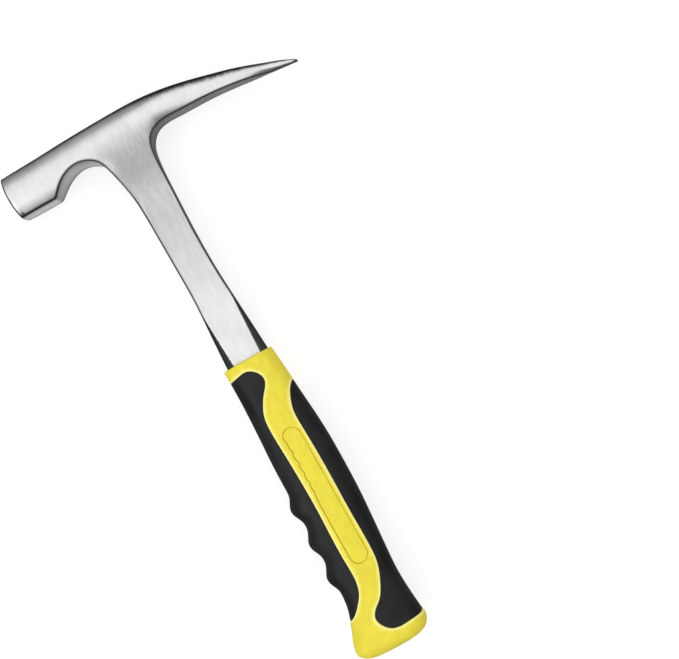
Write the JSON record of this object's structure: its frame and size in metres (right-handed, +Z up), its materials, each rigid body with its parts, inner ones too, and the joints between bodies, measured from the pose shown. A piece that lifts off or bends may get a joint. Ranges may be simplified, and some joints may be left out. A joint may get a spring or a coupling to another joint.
{
  "type": "brick hammer",
  "caption": "One-piece forged steel hammer with a square striking poll, a long tapered pick and a two-colour moulded grip with finger ridges.",
  "frame": {"origin": "bottom centre of the bounding box, with the hammer lying on its side", "axes": "+X from the striking face to the pick tip, +Y along the handle from butt to head, +Z up, across the hammer's thickness"},
  "size_m": [0.176, 0.3301, 0.03],
  "materials": {
    "forged_steel": "satin, finely ground",
    "yellow_moulding": "fine matte texture",
    "black_moulding": "matte soft-touch"
  },
  "bodies": {
    "root": {"steel_forging": "forged_steel", "grip_body": "yellow_moulding", "finger_grip_panel": "black_moulding", "palm_grip_panel": "black_moulding"}
  },
  "joints": []
}
